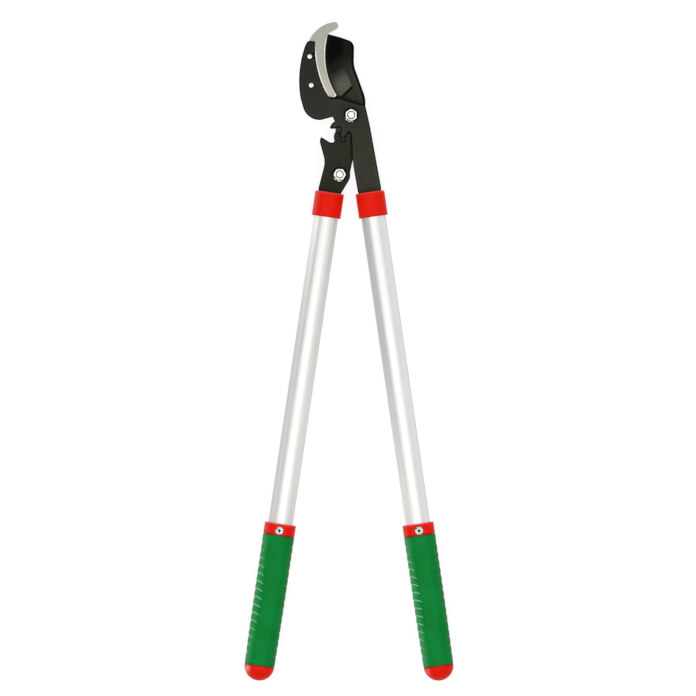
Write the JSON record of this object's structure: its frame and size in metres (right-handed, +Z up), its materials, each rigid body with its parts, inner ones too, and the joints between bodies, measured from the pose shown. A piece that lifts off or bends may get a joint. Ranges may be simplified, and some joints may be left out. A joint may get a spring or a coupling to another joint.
{
  "type": "geared bypass lopper",
  "caption": "Two-handed geared bypass lopper: hooked counter-blade, cutting blade on a geared compound lever, long tube handles with ribbed green and red grips.",
  "frame": {"origin": "on the floor under the middle of the tool, which lies on its back with the jaws closed", "axes": "+Y from the grips to the jaws, +X towards the hook plate's handle, +Z up out of the front of the head"},
  "size_m": [0.2384, 0.7511, 0.0365],
  "materials": {
    "plate_coating": "satin black coating with a slight olive cast",
    "blade_coating": "black low-friction coating, hollow-ground face",
    "bare_steel": "bare ground steel",
    "rivet": "bright steel rivet head",
    "zinc": "bright zinc plate",
    "pin_steel": "dark drawn steel",
    "tube_aluminium": "satin anodised tube",
    "red_plastic": "glossy red moulding",
    "green_sleeve": "soft green over-moulding with scalloped grooves",
    "black_nylon": "black nylon"
  },
  "bodies": {
    "hook_side": {"hook_plate": "plate_coating", "counter_blade": "bare_steel", "counter_blade_rivet_upper": "rivet", "counter_blade_rivet_lower": "rivet", "main_pivot_bolt": "zinc", "main_pivot_nut": "zinc", "main_pivot_front_washer": "zinc", "main_pivot_back_washer": "zinc", "right_ferrule": "red_plastic", "right_tang_bush": "black_nylon", "right_tang_pin": "pin_steel", "right_tube": "tube_aluminium", "right_grip_core": "red_plastic", "right_grip_sleeve": "green_sleeve", "right_grip_screw": "zinc"},
    "blade_side": {"blade": "blade_coating"},
    "lever_side": {"gear_lever": "plate_coating", "lever_pivot_bolt": "zinc", "lever_pivot_nut": "zinc", "lever_pivot_front_washer": "zinc", "lever_pivot_back_washer": "zinc", "left_ferrule": "red_plastic", "left_tang_bush": "black_nylon", "left_tang_pin": "pin_steel", "left_tube": "tube_aluminium", "left_grip_core": "red_plastic", "left_grip_sleeve": "green_sleeve", "left_grip_screw": "zinc"}
  },
  "joints": [
    {"name": "blade_pivot", "type": "hinge", "parent": "hook_side", "child": "blade_side", "pos_m": [0.00259, 0.26921, 0.0168], "axis": [0, 0, -1], "range_deg": [0, 38]},
    {"name": "lever_pivot", "type": "hinge", "parent": "blade_side", "child": "lever_side", "pos_m": [-0.01052, 0.20147, 0.0168], "axis": [0, 0, -1], "range_deg": [0, 19]}
  ],
  "couplings": [
    {"joint": "lever_pivot", "follows": "blade_pivot", "ratio": 0.5}
  ]
}
